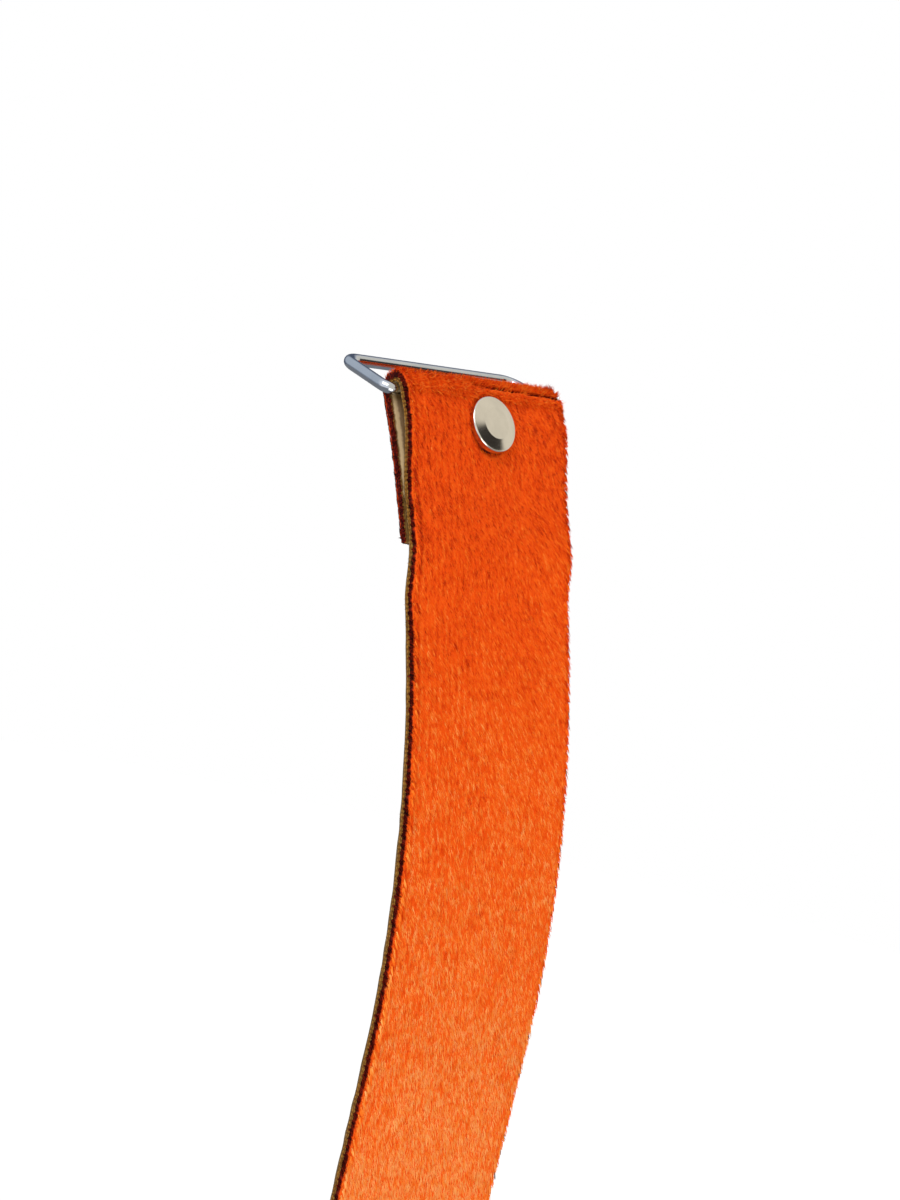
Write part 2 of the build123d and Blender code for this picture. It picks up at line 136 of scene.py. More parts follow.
def front_lift(s):
    over_fold_back = LIFT_AT_FOLD_END * ease((s - PEEL_S) / PEEL_LENGTH)
    glue_end = FOLD_END_S + FOLD_GLUE_LENGTH
    return over_fold_back + (LIFT_AT_ROD - LIFT_AT_FOLD_END) * ease((s - glue_end) / FLARE_LENGTH)


def fabric_point(u, depth):
    """(Y, Z) of a place at length u along the fabric and this depth outside the film's face."""
    u, depth = np.broadcast_arrays(np.asarray(u, float), np.asarray(depth, float))
    core = np.minimum(depth, CORE)
    share = np.maximum(depth - CORE, 0.0) / PILE

    s = np.minimum(u, WRAP_U) - RUN_LENGTH
    front = base_point(s, GLUE + depth + front_lift(s))

    angle = np.clip((u - WRAP_U) / WRAP_LENGTH, 0.0, 1.0)
    radius = ROD_BORE + core + share * blend(PILE, PRESSED_PILE_AT_ROD, angle)
    turn = ROD_S / SHOVEL_RADIUS
    c, k = np.cos(math.pi * angle), np.sin(math.pi * angle)
    centre = base_point(np.float64(ROD_S), np.float64(ROD_N))
    wrap_y = centre[0] + radius * (k * math.sin(turn) - c * math.cos(turn))
    wrap_z = centre[1] + radius * (k * math.cos(turn) + c * math.sin(turn))
    wrap = np.stack([wrap_y, wrap_z], -1)

    s = ROD_S - np.maximum(u - BACK_U, 0.0)
    pressed = blend(PRESSED_PILE_AT_END, PRESSED_PILE_AT_ROD, (s - FOLD_END_S) / (ROD_S - FOLD_END_S))
    back = base_point(s, BASE_CLEARANCE + pressed + CORE - core - share * pressed)

    place = np.where((u <= WRAP_U)[..., None], front, wrap)
    return np.where((u > BACK_U)[..., None], back, place)


def fabric_frame(u, depth):
    """Places with the directions along the fabric and out of it, as (Y, Z) unit vectors."""
    step = 0.05
    place = fabric_point(u, depth)
    along = fabric_point(u + step, CORE) - fabric_point(u - step, CORE)
    along /= np.linalg.norm(along, axis=-1, keepdims=True)
    out = np.stack([-along[..., 1], along[..., 0]], -1)
    return place, along, out


def to_xyz(x, yz):
    return np.concatenate([np.asarray(x, float)[..., None], yz], -1)


def noise(x, u, cell_x, cell_u, seed):
    """Smooth noise from -1 to 1 over the fabric, with cells of this size. Each seed has its own."""
    gx, gu = x / cell_x + 1000.0, u / cell_u + 1000.0
    ix, iu = np.floor(gx).astype(np.int64), np.floor(gu).astype(np.int64)
    fx, fu = ease(gx - ix), ease(gu - iu)

    def value(i, j):
        """A cell corner's value: large odd factors scatter its place and the seed over 32 bits."""
        mixed = (i * 374761393 + j * 668265263 + seed * 974634777) & 0xFFFFFFFF
        mixed = ((mixed ^ (mixed >> 13)) * 1274126177) & 0xFFFFFFFF
        return ((mixed ^ (mixed >> 16)) & 0xFFFF) / 32767.5 - 1.0

    low = value(ix, iu) * (1 - fx) + value(ix + 1, iu) * fx
    high = value(ix, iu + 1) * (1 - fx) + value(ix + 1, iu + 1) * fx
    return low * (1 - fu) + high * fu


def edge_noise(side, u, cell_u, seed):
    """Noise along a cut edge, the same for all x on that side."""
    return noise(np.sign(side) * 9, u, 1.0, cell_u, seed)


def behind_fold(u):
    """0 on the front layer, 1 on the fold-back, easing over the last of the turn."""
    return ease((u - BACK_U + 1.5) / 3.0)


# ---------------------------------------------------------------- meshes


def mesh_piece(name, points, faces, materials, slots=None, smooth=True):
    """A mesh from points in millimetres and a list of face arrays, all of one size in each array."""
    mesh = bpy.data.meshes.new(name)
    mesh.vertices.add(len(points))
    mesh.vertices.foreach_set("co", (points * MM).astype(np.float32).ravel())
    loops = np.concatenate([f.ravel() for f in faces])
    sizes = np.concatenate([np.full(len(f), f.shape[1]) for f in faces])
    mesh.loops.add(len(loops))
    mesh.loops.foreach_set("vertex_index", loops.astype(np.int32))
    mesh.polygons.add(len(sizes))
    mesh.polygons.foreach_set("loop_start", np.concatenate([[0], np.cumsum(sizes)[:-1]]).astype(np.int32))
    for material in materials:
        mesh.materials.append(material)
    if slots is not None:
        mesh.polygons.foreach_set("material_index", slots.astype(np.int32))
    mesh.polygons.foreach_set("use_smooth", np.full(len(sizes), smooth))
    mesh.update(calc_edges=True)
    mesh.validate()
    obj = bpy.data.objects.new(name, mesh)
    bpy.context.scene.collection.objects.link(obj)
    return obj


def add_attribute(obj, name, kind, values):
    field = "vector" if kind == "FLOAT_VECTOR" else "value"
    attribute = obj.data.attributes.new(name, kind, "POINT")
    attribute.data.foreach_set(field, np.asarray(values, np.float32).ravel())


def lofted_strip(name, stations, ring_x, ring_depth, material, shape):
    """A closed band: a ring of (x, depth) points carried along the fabric and capped at both ends.

    shape(x, u, depth) gives each point's final x, u and depth.
    """
    count, ring = len(stations), len(ring_x)
    u = np.repeat(stations[:, None], ring, 1)
    x = np.repeat(ring_x[None, :], count, 0)
    depth = np.repeat(ring_depth[None, :], count, 0)
    x2, u2, depth2 = shape(x, u, depth)
    points = to_xyz(x2, fabric_point(u2, depth2)).reshape(-1, 3)
    i, j = np.meshgrid(np.arange(count - 1), np.arange(ring), indexing="ij")
    k = (j + 1) % ring
    quads = np.stack([i * ring + j, i * ring + k, (i + 1) * ring + k, (i + 1) * ring + j], -1).reshape(-1, 4)
    start = np.arange(ring)[::-1][None, :]
    end = ((count - 1) * ring + np.arange(ring))[None, :]
    obj = mesh_piece(name, points, [quads, start, end], [material])
    add_attribute(obj, "fabric", "FLOAT_VECTOR", np.stack([x, u, depth2], -1) * MM)
    return obj, x, u, depth


def box_ring(half, low, high, across, up):
    """Ring points of a flat band: across points on its outer face, up points on each cut edge."""
    top_x = np.linspace(-half, half, across)
    side = np.linspace(high, low, up + 2)[1:-1]
    x = np.concatenate([top_x, np.full(up, half), [half, -half], np.full(up, -half)])
    depth = np.concatenate([np.full(across, high), side, [low, low], side[::-1]])
    return x, depth


def stations(fine, coarse, low=0.0):
    """Lengths along the fabric: far apart on the run, close near the tip, closest round the rod."""
    far = np.arange(low, NEAR_U, coarse)
    near = np.linspace(NEAR_U, WRAP_U - 1.5, int((WRAP_U - NEAR_U) / fine), endpoint=False)
    crest = np.linspace(WRAP_U - 1.5, BACK_U + 1.0, int((WRAP_LENGTH + 2.5) / (0.24 * fine)), endpoint=False)
    back = np.linspace(BACK_U + 1.0, FABRIC_LENGTH, int((FABRIC_LENGTH - BACK_U) / fine))
    return np.concatenate([far, near, crest, back])


def spikes(name, roots, direction, across, length, width, materials, slots, bend=None):
    """Closed tapering fibres: three-sided at the root, coming to a point, one slot each.

    With bend, a direction for the outer half, each fibre has a second joint.
    """
    third = np.cross(direction, across)
    third /= np.linalg.norm(third, axis=-1, keepdims=True)
    across = np.cross(third, direction)
    w = width[:, None]
    corners = [(-0.5, -0.28), (0.5, -0.28), (0.0, 0.56)]
    base = [roots + w * (a * across + b * third) for a, b in corners]
    n = len(roots)
    first = np.arange(n)[:, None]
    if bend is None:
        tip = roots + direction * length[:, None]
        points = np.stack(base + [tip], 1).reshape(-1, 3)
        local = np.array([[0, 1, 3], [1, 2, 3], [2, 0, 3], [2, 1, 0]])
        faces = [(first[:, :, None] * 4 + local[None]).reshape(-1, 3)]
        face_slots = np.repeat(slots, 4)
        return mesh_piece(name, points, faces, materials, face_slots, smooth=False)
    middle = roots + direction * (0.55 * length)[:, None]
    mid_ring = [middle + 0.72 * w * (a * across + b * third) for a, b in corners]
    tip = middle + bend * (0.45 * length)[:, None]
    points = np.stack(base + mid_ring + [tip], 1).reshape(-1, 3)
    sides = np.array([[0, 1, 4, 3], [1, 2, 5, 4], [2, 0, 3, 5]])
    ends = np.array([[3, 4, 6], [4, 5, 6], [5, 3, 6], [2, 1, 0]])
    quads = (first[:, :, None] * 7 + sides[None]).reshape(-1, 4)
    tris = (first[:, :, None] * 7 + ends[None]).reshape(-1, 3)
    face_slots = np.concatenate([np.repeat(slots, 3), np.repeat(slots, 4)])
    return mesh_piece(name, points, [quads, tris], materials, face_slots, smooth=False)


# ---------------------------------------------------------------- materials


class Tree:
    """A small helper that adds nodes to a node tree."""

    def __init__(self, tree):
        self.tree = tree

    def add(self, kind, inputs=None, **settings):
        node = self.tree.nodes.new("ShaderNode" + kind)
        for key, value in settings.items():
            setattr(node, key, value)
        for key, value in (inputs or {}).items():
            self.put(value, node.inputs[key])
        return node

    def put(self, value, socket):
        if isinstance(value, bpy.types.NodeSocket):
            self.tree.links.new(value, socket)
        else:
            socket.default_value = value

    def math(self, operation, a, b=0.0):
        return self.add("Math", {0: a, 1: b}, operation=operation).outputs[0]

    def ramp(self, value, *stops):
        node = self.add("ValToRGB", {"Fac": value})
        elements = node.color_ramp.elements
        while len(elements) < len(stops):
            elements.new(0.5)
        for element, (place, colour) in zip(elements, stops):
            element.position = place
            element.color = (*colour, 1.0)
        return node.outputs["Color"]

    def mix(self, share, a, b):
        """Colour a where the share is 0, b where it is 1."""
        node = self.add("Mix", data_type="RGBA")
        self.put(share, node.inputs[0])
        for value, socket in ((a, node.inputs[6]), (b, node.inputs[7])):
            self.put(value if isinstance(value, bpy.types.NodeSocket) else (*value, 1.0), socket)
        return node.outputs[2]

    def between(self, value, low, high):
        inputs = {"Value": value, "To Min": low, "To Max": high}
        return self.add("MapRange", inputs).outputs[0]

    def noise(self, vector, detail=2.0, rough=0.5):
        inputs = {"Vector": vector, "Scale": 1.0, "Detail": detail, "Roughness": rough}
        return self.add("TexNoise", inputs).outputs["Fac"]


class Material(Tree):
    """A material with its Principled surface."""

    def __init__(self, name):
        self.material = bpy.data.materials.new(name)
        self.material.use_nodes = True
        super().__init__(self.material.node_tree)
        self.surface = self.tree.nodes["Principled BSDF"]

    def set(self, **sockets):
        for key, value in sockets.items():
            self.put(value, self.surface.inputs[key.replace("_", " ")])

    def fabric(self, stretch=(1.0, 1.0, 1.0)):
        """Coordinates that follow the fabric, in millimetres: across, along and depth."""
        place = self.add("Attribute", attribute_name="fabric").outputs["Vector"]
        return self.scaled(place, stretch)

    def object(self, stretch=(1.0, 1.0, 1.0)):
        """The piece's own coordinates, in millimetres."""
        return self.scaled(self.add("TexCoord").outputs["Object"], stretch)

    def scaled(self, place, stretch):
        scale = tuple(k / MM for k in stretch)
        return self.add("Mapping", {"Vector": place, "Scale": scale}).outputs[0]

    def bump(self, height, strength, distance):
        """Bump of this height in millimetres."""
        inputs = {"Height": height, "Strength": strength, "Distance": distance * MM}
        self.put(self.add("Bump", inputs).outputs[0], self.surface.inputs["Normal"])


def fibre_material(name, colour, gloss=0.06):
    """One shade of fibre or yarn: dyed, or for the pile's roots a painted shade. The pattern comes from how
    the shades are laid out.
    """
    m = Material(name)
    m.set(Base_Color=(*colour, 1.0), Roughness=0.60, Specular_IOR_Level=gloss)
    return m.material


FIBRE_SHADES = {
    "fibre_deep": (0.38, 0.020, 0.001),
    "fibre_dark": (0.56, 0.037, 0.0015),
    "fibre_red_orange": (0.71, 0.060, 0.002),
    "fibre_orange": (0.81, 0.090, 0.003),
    "fibre_bright": (0.87, 0.140, 0.007),
    "fibre_warm": (0.90, 0.205, 0.018),
    "fibre_light": (0.91, 0.285, 0.042),
    "fibre_pale": (0.92, 0.370, 0.085),
    "fibre_straw": (0.93, 0.440, 0.130),
}
# Painted shade: near-black reds for the pile's roots, deep in it, along its cut edges and where the
# fold-back lies in the ski's shadow.
ROOT_SHADE_COLOURS = {
    "root_shade_black_red": (0.018, 0.0012, 0.001),
    "root_shade_dark_red": (0.070, 0.003, 0.0015),
    "root_shade_red": (0.190, 0.011, 0.003),
}
WORN_YARN = (0.36, 0.175, 0.028)
TARNISH = 0.12
YARN_SHADES = {
    "yarn_umber": (0.090, 0.034, 0.005),
    "yarn_golden": (0.290, 0.125, 0.014),
    "yarn_tan": (0.480, 0.250, 0.060),
}


def plush_material():
    """The body of the pile: painted shade, near black at the roots and up most of a cut edge, banded along
    the tuft rows lower down, orange over the top, fine streaks.
    """
    m = Material("plush")
    height = m.add("Attribute", attribute_name="pile_height").outputs["Fac"]
    streaks = m.noise(m.fabric((2.6, 0.8, 1.0)), 4.0, 0.65)
    along_edge = m.noise(m.fabric((0.4, 1.15, 0.4)), 3.0, 0.6)
    mottle = m.math("ADD", m.math("MULTIPLY", streaks, 0.5), m.math("MULTIPLY", along_edge, 0.5))
    ragged = m.math("ADD", height, m.math("MULTIPLY", m.math("SUBTRACT", mottle, 0.5), 0.8))
    along = m.add("SeparateXYZ", {"Vector": m.fabric()}).outputs["Y"]
    phase = m.math("MULTIPLY", m.math("SUBTRACT", along, TUFT_START), 2 * math.pi / TUFT_PITCH)
    row = m.math("COSINE", m.math("ADD", phase, m.math("MULTIPLY", along_edge, 1.6)))
    below_top = m.math("MULTIPLY", m.math("SUBTRACT", 1.0, height), 0.45)
    ragged = m.math("SUBTRACT", ragged, m.math("MULTIPLY", row, below_top))
    # Painted shade: dark reds to near black lower in the pile, orange at its top, banded along the tuft
    # rows.
    by_height = m.ramp(
        ragged,
        (0.10, ROOT_SHADE_COLOURS["root_shade_black_red"]),
        (0.42, ROOT_SHADE_COLOURS["root_shade_dark_red"]),
        (0.70, ROOT_SHADE_COLOURS["root_shade_red"]),
        (0.86, FIBRE_SHADES["fibre_dark"]),
        (1.00, FIBRE_SHADES["fibre_orange"]),
    )
    m.set(Base_Color=by_height, Roughness=m.between(streaks, 0.62, 0.92), Specular_IOR_Level=0.1)
    m.bump(streaks, 0.6, 0.4)
    return m.material


def weave_material():
    """Golden cotton and nylon backing: crossed yarns with umber gaps."""
    m = Material("backing_weave")
    place = m.fabric()
    weft = m.add("TexWave", {"Vector": place, "Scale": 0.35, "Distortion": 3.4, "Detail": 3.0})
    weft.bands_direction = "Y"
    warp = m.add("TexWave", {"Vector": place, "Scale": 0.32, "Distortion": 1.0, "Detail": 2.0})
    warp.bands_direction = "X"
    layers = m.add("TexWave", {"Vector": place, "Scale": 0.40, "Distortion": 3.0, "Detail": 3.0})
    layers.bands_direction = "Z"
    crossed = m.math("MAXIMUM", weft.outputs["Fac"], warp.outputs["Fac"])
    yarns = m.math("MULTIPLY", crossed, layers.outputs["Fac"])
    dirt = m.noise(m.fabric((0.5, 0.3, 1.0)), 3.0)
    lightness = m.math("ADD", m.math("MULTIPLY", yarns, 0.7), m.math("MULTIPLY", dirt, 0.5))
    colour = m.ramp(
        lightness,
        (0.15, YARN_SHADES["yarn_umber"]),
        (0.50, YARN_SHADES["yarn_golden"]),
        (0.95, WORN_YARN),
    )
    m.set(Base_Color=colour, Roughness=m.between(yarns, 0.9, 0.65), Specular_IOR_Level=0.2)
    m.bump(yarns, 0.8, 0.15)
    return m.material


def film_material(name, dull, clear, rough, streak, edge=None, on_fabric=True):
    """A rolled film: two close tones, faint lines along the roll, uneven gloss.

    With edge, a colour, the film is darkened towards it in a band just inside the cut edges, and faintly
    further in, with a paler line at the edge itself: painted shade, as deep in the fold's narrow gap.
    """
    m = Material(name)
    place = m.fabric if on_fabric else m.object
    lines = m.noise(place((streak, 0.05, 1.0)), 3.0)
    clouds = m.noise(place((0.09, 0.04, 1.0)), 3.0)
    tone = m.math("ADD", m.math("MULTIPLY", lines, 0.45), m.math("MULTIPLY", clouds, 0.55))
    colour = m.ramp(tone, (0.30, dull), (0.70, clear))
    if edge:
        # Painted shade: darker in a band inside the cut edges, faintly further in.
        split = m.add("SeparateXYZ", {"Vector": m.fabric()})
        inwards = m.math("SUBTRACT", HALF, m.math("ABSOLUTE", split.outputs["X"]))
        wander = m.math("SUBTRACT", m.noise(m.fabric((0.5, 0.9, 1.0)), 3.0), 0.5)
        inset = m.math("MULTIPLY", m.math("ADD", inwards, wander), 0.2)
        full, none, faint = (1.0, 1.0, 1.0), (0.0, 0.0, 0.0), (0.25, 0.25, 0.25)
        fold_shade_mask = m.ramp(inset, (0.03, none), (0.10, full), (0.22, full), (0.36, none), (0.9, faint))
        colour = m.mix(fold_shade_mask, edge, colour)
    m.set(Base_Color=colour, Specular_IOR_Level=0.25)
    m.set(Roughness=m.between(tone, rough - 0.08, rough + 0.14), Coat_Weight=0.08, Coat_Roughness=0.3)
    m.bump(tone, 0.35, 0.2)
    return m.material


def metal_material(name, colour, rough, grain, scratch, bump=0.05):
    """Bare or plated metal: grain along one way, hairline scratches, faint handling marks."""
    m = Material(name)
    fine = m.noise(m.object(grain), 4.0, 0.6)
    hair = m.noise(m.object(scratch), 2.0, 0.7)
    marks = m.noise(m.object((0.22, 0.22, 0.16)), 3.0)
    dull = tuple(c * (1 - TARNISH) for c in colour)
    m.set(Base_Color=m.mix(m.ramp(marks, (0.35, (0, 0, 0)), (0.75, (1, 1, 1))), colour, dull), Metallic=1.0)
    spread = m.math("ADD", m.math("MULTIPLY", fine, 0.6), m.math("MULTIPLY", marks, 0.4))
    m.set(Roughness=m.between(spread, rough * 0.65, rough * 1.45))
    m.bump(m.math("ADD", m.math("MULTIPLY", fine, 0.5), m.math("MULTIPLY", hair, 0.5)), bump, 0.02)
    return m.material


def rubber_material():
    """Moulded black strap rubber: matt, finely grained, dusty in patches."""
    m = Material("strap_rubber")
    grain = m.noise(m.object((3.0, 3.0, 3.0)), 3.0)
    dust = m.noise(m.object((0.10, 0.10, 0.06)), 4.0)
    m.set(Base_Color=m.ramp(dust, (0.35, (0.010, 0.010, 0.011)), (0.8, (0.030, 0.028, 0.026))))
    m.set(Roughness=m.between(grain, 0.42, 0.66), Specular_IOR_Level=0.45)
    m.bump(grain, 0.3, 0.06)
    return m.material


# ---------------------------------------------------------------- the fabric's layers


def plush_top(x, u):
    """How deep the body of the pile reaches: pressed in the clamp and under the rivet's cap."""
    share = BODY_SHARE + 0.04 * noise(x, u, 1.1, 2.4, 11) + 0.03 * noise(x, u, 0.5, 1.1, 12)
    share += 0.03 * noise(x, u, 6.0, 15.0, 13)
    far = np.hypot(x, u - RIVET_U)
    share -= 0.26 * (1 - ease((far - CAP_RADIUS + 0.3) / 0.7))
    clamped = CLAMPED_PILE / PILE - 0.03
    share = np.where(u < CLAMP_U + 12, blend(clamped, share, (u - CLAMP_U - 1.0) / 7.0), share)
    share *= 1 - 0.55 * (1 - ease((FABRIC_LENGTH - u) / 1.6))
    return share - parting(x, u) * 0.66


def crest_places(x):
    """Lengths along the fabric of the two lines on the crest where the rows of tufts part."""
    across = x / (HALF)
    climb = 0.26 * (1 - ease((x + 7.5) / 6.0))
    low = WRAP_U + WRAP_LENGTH * (0.15 - 0.045 * across + climb)
    high = WRAP_U + WRAP_LENGTH * (0.245 - 0.02 * across)
    wander = 0.07 * noise(x, x * 0, 2.6, 1.0, 21) + 0.04 * noise(x, x * 0, 0.9, 1.0, 22)
    return low + wander, high - wander


def between_tufts(u):
    """0 in the middle of each tuft row of the weave, 1 halfway to the next row."""
    return 0.5 - 0.5 * np.cos(2 * math.pi * (u - TUFT_START) / TUFT_PITCH)


def parting(x, u):
    """0 to 1 where the pile splits along the crest of the fold, right of the middle."""
    low, high = crest_places(x)
    first = ease((x + 7.0) / 4.0) * (1 - ease((np.abs(u - low) - 0.11) / 0.18))
    second = 0.8 * ease((x - 1.0) / 8.0) * (1 - ease((np.abs(u - high) - 0.07) / 0.15))
    return np.maximum(first, second)


def make_plush(material):
    ring_x, ring_depth = box_ring(HALF, 0.0, 1.0, 67, 3)

    def shape(x, u, height):
        top = plush_top(x, u)
        edge = ease((HALF - np.abs(x)) / 0.8)
        rounded = top - 0.08 * (1 - edge) * height
        depth = CORE + PILE * rounded * height
        tufts = 0.08 * np.abs(np.sin(math.pi * u / TUFT_PITCH + 0.6 * noise(x, u, 50.0, 4.0, 33)))
        wander = 0.08 * noise(np.sign(x) * 40, u, 1.0, 1.9, 31) + 0.06 * noise(x, u, 9.0, 0.7, 32)
        x2 = x + np.sign(x) * (1 - edge) * (wander + tufts - 0.12)
        return x2, u, depth

    obj, x, u, height = lofted_strip("plush", stations(0.5, 2.6), ring_x, ring_depth, material, shape)
    # Painted shade: where the pile is pressed, by the clamp, the rivet's cap, the crest's partings and at
    # the fabric's end, its body is darker.
    reached = np.minimum(plush_top(x, u) / 0.70, 1.1)
    add_attribute(obj, "pile_height", "FLOAT", height * reached)
    return obj


def make_weave(material):
    ring_x, ring_depth = box_ring(HALF, MEMBRANE, CORE, 7, 5)

    def shape(x, u, depth):
        at_edge = np.abs(x) > HALF - 0.01
        yarn = np.abs(np.sin(math.pi * u / YARN_PITCH + 1.3 * edge_noise(x, u, 2.3, 42)))
        ply = np.abs(np.sin(2 * math.pi * (depth - MEMBRANE) / WEAVE))
        ragged = 0.16 * yarn + 0.10 * ply + 0.09 * edge_noise(x, u + depth * 3, 0.8, 41)
        return x + np.sign(x) * at_edge * (ragged - 0.16), u, depth

    return lofted_strip("woven_back", stations(0.23, 1.1), ring_x, ring_depth, material, shape)[0]


def make_film(material):
    ring_x, ring_depth = box_ring(HALF - 0.16, 0.0, MEMBRANE, 25, 1)

    def shape(x, u, depth):
        ripple = 0.05 * noise(x, u, 3.5, 5.0, 51) * (depth < 0.01)
        inside_fold = ease((u - PEEL_U) / 4.0)
        wander = 0.04 * edge_noise(x, u, 2.5, 52) * (np.abs(x) > HALF - 0.2)
        return x + wander, u, depth - ripple * inside_fold

    low = CLAMP_U + 0.2
    return lofted_strip("film", stations(0.8, 6.0, low), ring_x, ring_depth, material, shape)[0]


def make_adhesive(material):
    """The adhesive coat between the film and the ski, a negative depth, up to where the strip lifts."""
    ring_x, ring_depth = box_ring(HALF - 0.25, -GLUE, 0.0, 46, 1)

    def shape(x, u, depth):
        on_ski = depth < -GLUE / 2
        tracks = 0.035 * noise(x, u, 0.9, 40.0, 61) + 0.025 * noise(x, u, 4.0, 6.0, 62)
        wander = 0.12 * edge_noise(x, u, 3.0, 63) * (np.abs(x) > HALF - 0.3)
        return x + wander, u, depth + on_ski * (tracks + 0.06)

    places = np.concatenate([np.arange(CLAMP_U + 0.3, NEAR_U, 5.0), np.linspace(NEAR_U, PEEL_U, 130)])
    return lofted_strip("adhesive", places, ring_x, ring_depth, material, shape)[0]


# ---------------------------------------------------------------- fibres


def unit(v):
    return v / np.linalg.norm(v, axis=-1, keepdims=True)


def local_vectors(along, out, x_part, along_part, out_part):
    """Directions built from shares across, along the fabric and out of it."""
    yz = along * along_part[:, None] + out * out_part[:, None]
    return unit(to_xyz(x_part, yz))


def nap_lean(x, u):
    """How far the strokes of the nap lean across the strip: most at the right, near the tip."""
    right = ease((x + 14.0) / 26.0)
    return (0.06 + 0.30 * right) * ease((u - SHOVEL_U - 45.0) / 70.0) - 0.04


def shade_slots(x, u, rng):
    """Which shade each fibre has: fine clumps along the nap, rows of tufts and a little chance, over painted
    light: brighter shades towards the tail and over the crest, darker ones at the cut edges.
    """
    s = u - SHOVEL_U
    # Painted light: brighter shades towards the tail, a brighter band about 55 mm up the shovel, darker
    # shades above about 92 mm.
    painted_light = 3.5 * (1 - ease((s + 25.0) / 165.0)) + 0.7 * (1 - ease((s + 35.0) / 60.0))
    painted_light += 0.35 * np.exp(-(((s - 55.0) / 20.0) ** 2)) - 0.45 * ease((s - 92.0) / 36.0)
    # Painted shade: darker shades over the last 2 mm to each cut edge.
    at_edge = ease((np.abs(x) - HALF + 1.9) / 1.5)
    along_nap = x + nap_lean(x, u) * s
    tone = 2.65 + painted_light - 1.1 * at_edge + 2.3 * noise(along_nap, u, 0.33, 0.85, 71)
    tone = tone + 0.60 * noise(along_nap, u, 0.9, 2.2, 72) + 0.30 * noise(x, u, 7.0, 12.0, 73)
    rows = np.sin(2 * math.pi * (x + 0.5 * noise(x, u, 40.0, 9.0, 74)) / TUFT_PITCH)
    tone = tone + (0.70 - 0.50 * ease((x + 18.0) / 25.0)) * rows + rng.normal(0.0, 0.45, len(x))
    # Painted light: brighter shades over the crest and on round the fold.
    tone = tone + 0.9 * ease((u - WRAP_U + 0.5) / 1.5)
    return np.clip(np.round(tone), 0, len(FIBRE_SHADES) - 1)


def scatter(low, high, per_mm2, rng):
    """Jittered places over a stretch of the fabric, left out of the rivet, the clamp and the partings."""
    step = 1 / math.sqrt(per_mm2)
    columns, rows = int(STRIP_WIDTH / step), int((high - low) / step)
    gx, gu = np.meshgrid(np.arange(columns), np.arange(rows), indexing="ij")
    x = (-HALF + (gx.ravel() + rng.random(gx.size)) * (STRIP_WIDTH / columns)) * (1 - 0.16 / HALF)
    u = low + (gu.ravel() + rng.random(gx.size)) * ((high - low) / rows)
    under_rim = 0.8 * ease((RIVET_U - u) / 3.0)
    under_cap = np.hypot(x, u - RIVET_U) < CAP_RADIUS + 0.1 - under_rim
    clamped = u < CLAMP_U + 1.8
    split = rng.random(len(x)) < parting(x, u)
    keep = ~(under_cap | clamped | split)
    return x[keep], u[keep]


def root_share(x, u):
    """How far up the pile a fibre starts, as a share of its depth.

    At the cut edges it starts higher, so that the dark side shows, but hangs lower between tufts.
    """
    near_cap = 1 - ease((np.hypot(x, u - RIVET_U) - CAP_RADIUS) / 0.7)
    behind = behind_fold(u)
    share = ROOT_SHARE + 0.05 * noise(x, u, 1.1, 2.4, 11) + 0.03 * noise(x, u, 6.0, 15.0, 13)
    hanging = 0.30 * ease((between_tufts(u) - 0.35) / 0.4) * (1 - behind)
    share += (0.26 - hanging) * ease((np.abs(x) - HALF + 1.8) / 1.5) + 0.10 * behind
    share -= 0.06 * near_cap + 0.20 * parting(x, u) + 0.35 * (1 - ease((FABRIC_LENGTH - u) / 1.4))
    return share


def nap_direction(x, u, along, out, rng):
    """Fibres lie towards the tail, lean with the nap, and stand up behind the crest's parting."""
    count = len(x)
    edge = ease((np.abs(x) - HALF + 1.2) / 1.2)
    lean = nap_lean(x, u)
    sway = lean + 0.10 * noise(x, u, 9.0, 14.0, 81) + 0.12 * noise(x, u, 1.7, 3.4, 82)
    sway = (sway + rng.normal(0, 0.12, count)) * (1 - 0.9 * edge) - np.sign(x) * 0.10 * edge
    rise = 0.50 + 0.10 * noise(x + lean * u, u, 0.6, 1.5, 83) + rng.normal(0, 0.09, count)
    rise = np.maximum(rise, 0.12) * (1 - 0.45 * behind_fold(u))
    past_parting = u - crest_places(x)[0]
    stands = ease((x + 9.0) / 6.0) * ease(past_parting / 0.12) * (1 - ease((past_parting - 2.2) / 1.8))
    on_crest = np.exp(-(((u - WRAP_U - 0.45 * WRAP_LENGTH) / 2.2) ** 2))
    rise += 0.25 * on_crest + 0.9 * stands
    return local_vectors(along, out, sway, -1.0 + 0.80 * stands, rise)


def pile_slots(x, u, rng):
    """Each fibre's material: its orange shade, or a root colour as painted shade: a painted shadow near the
    fold-back's cuts, and specks at the right edge.
    """
    count = len(x)
    slots = shade_slots(x, u, rng)
    from_cut = np.minimum(HALF - np.abs(x), FABRIC_LENGTH - u)
    # Painted shadow in root colours near the fold-back's cut edges and end, and painted shade in specks at
    # the right edge.
    painted_shade_mask = (u > BACK_U - 1.0) & (from_cut < 1.6 * rng.random(count) + 0.9)
    painted_shade_mask |= (HALF - x < 0.36) & (rng.random(count) < 0.30 * (1 - between_tufts(u)))
    root_slots = len(FIBRE_SHADES) + rng.choice(len(ROOT_SHADE_COLOURS), count, p=[0.3, 0.4, 0.3])
    return np.where(painted_shade_mask, root_slots, slots)


